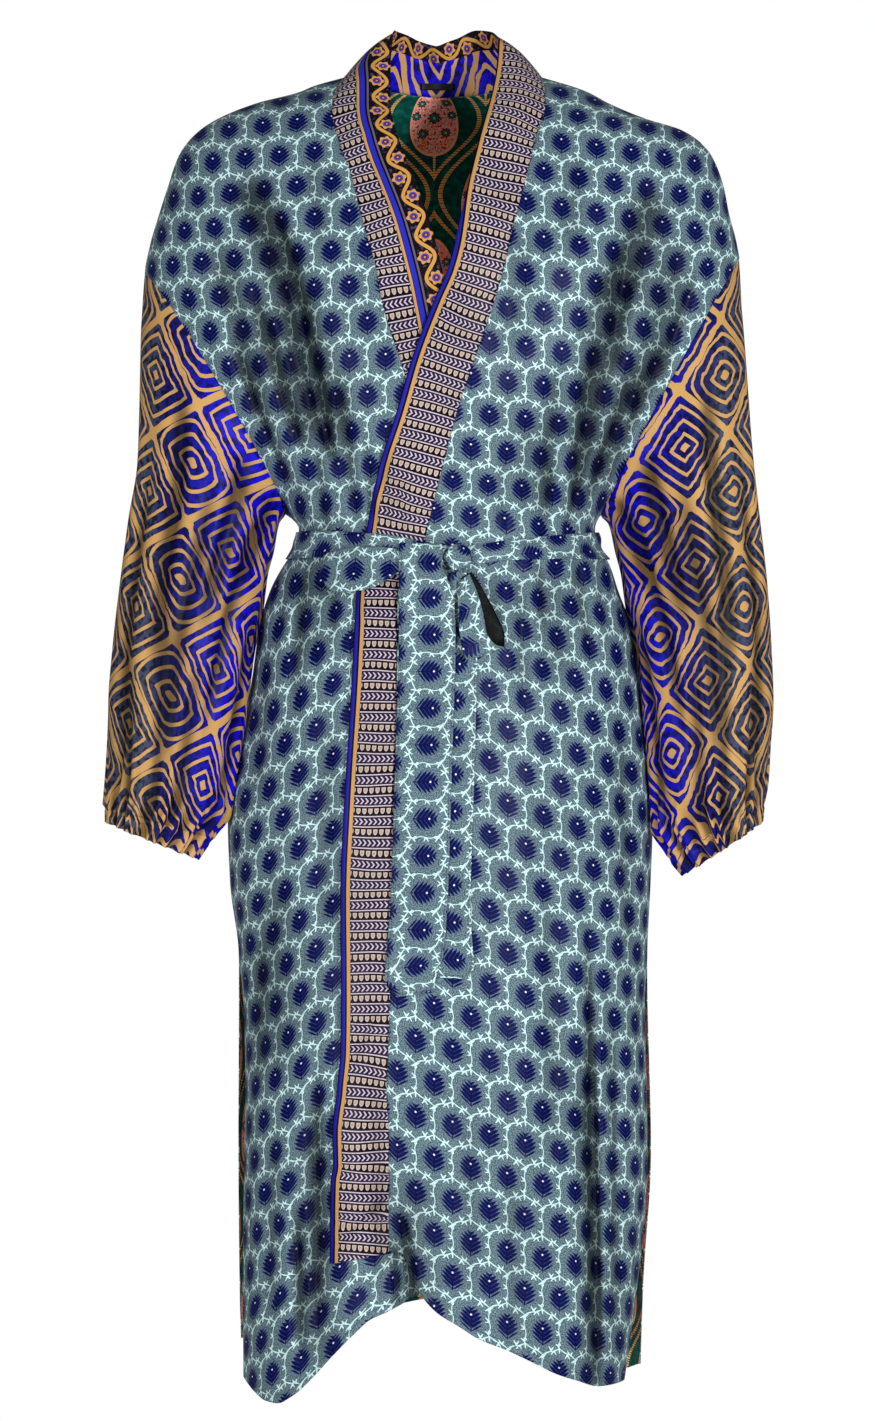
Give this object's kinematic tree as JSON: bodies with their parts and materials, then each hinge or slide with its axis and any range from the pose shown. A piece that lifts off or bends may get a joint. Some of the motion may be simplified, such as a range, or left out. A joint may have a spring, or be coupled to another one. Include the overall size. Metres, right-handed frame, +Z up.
{
  "type": "kimono robe",
  "caption": "Long wrap robe in light printed silk, with wide gathered sleeves, a border band round the neck and down the fronts, and a belt tied in a bow; worn form, no wearer.",
  "frame": {"origin": "middle of the neck at shoulder height, where the wearer holds the robe up", "axes": "+Z up along the robe, front of the robe faces -Y, +X is the wearer's left"},
  "size_m": [0.6043, 0.2494, 1.231],
  "materials": {
    "back": "Printed silk back panel",
    "front_left": "Printed silk front, top layer",
    "front_right": "Printed silk front, under layer",
    "sleeve_left": "Printed silk sleeve",
    "sleeve_right": "Printed silk sleeve",
    "cuff_left": "Elastic silk cuff",
    "cuff_right": "Elastic silk cuff",
    "band_left": "Border band",
    "band_right": "Border band",
    "collar_back": "Border band behind the neck",
    "neck_facing": "Neck facing",
    "label": "Plain woven label",
    "belt_waist": "Belt",
    "belt_knot": "Belt",
    "bow_loop_left": "Belt",
    "bow_loop_right": "Belt",
    "tail_front": "Belt",
    "tail_back": "Belt"
  },
  "bodies": {
    "root": {"back": "back", "front_left": "front_left", "front_right": "front_right", "sleeve_left": "sleeve_left", "sleeve_right": "sleeve_right", "cuff_left": "cuff_left", "cuff_right": "cuff_right", "band_left": "band_left", "band_right": "band_right", "collar_back": "collar_back", "neck_facing": "neck_facing", "label": "label", "belt_waist": "belt_waist", "belt_knot": "belt_knot", "bow_loop_left": "bow_loop_left", "bow_loop_right": "bow_loop_right", "tail_front": "tail_front", "tail_back": "tail_back"}
  },
  "joints": []
}
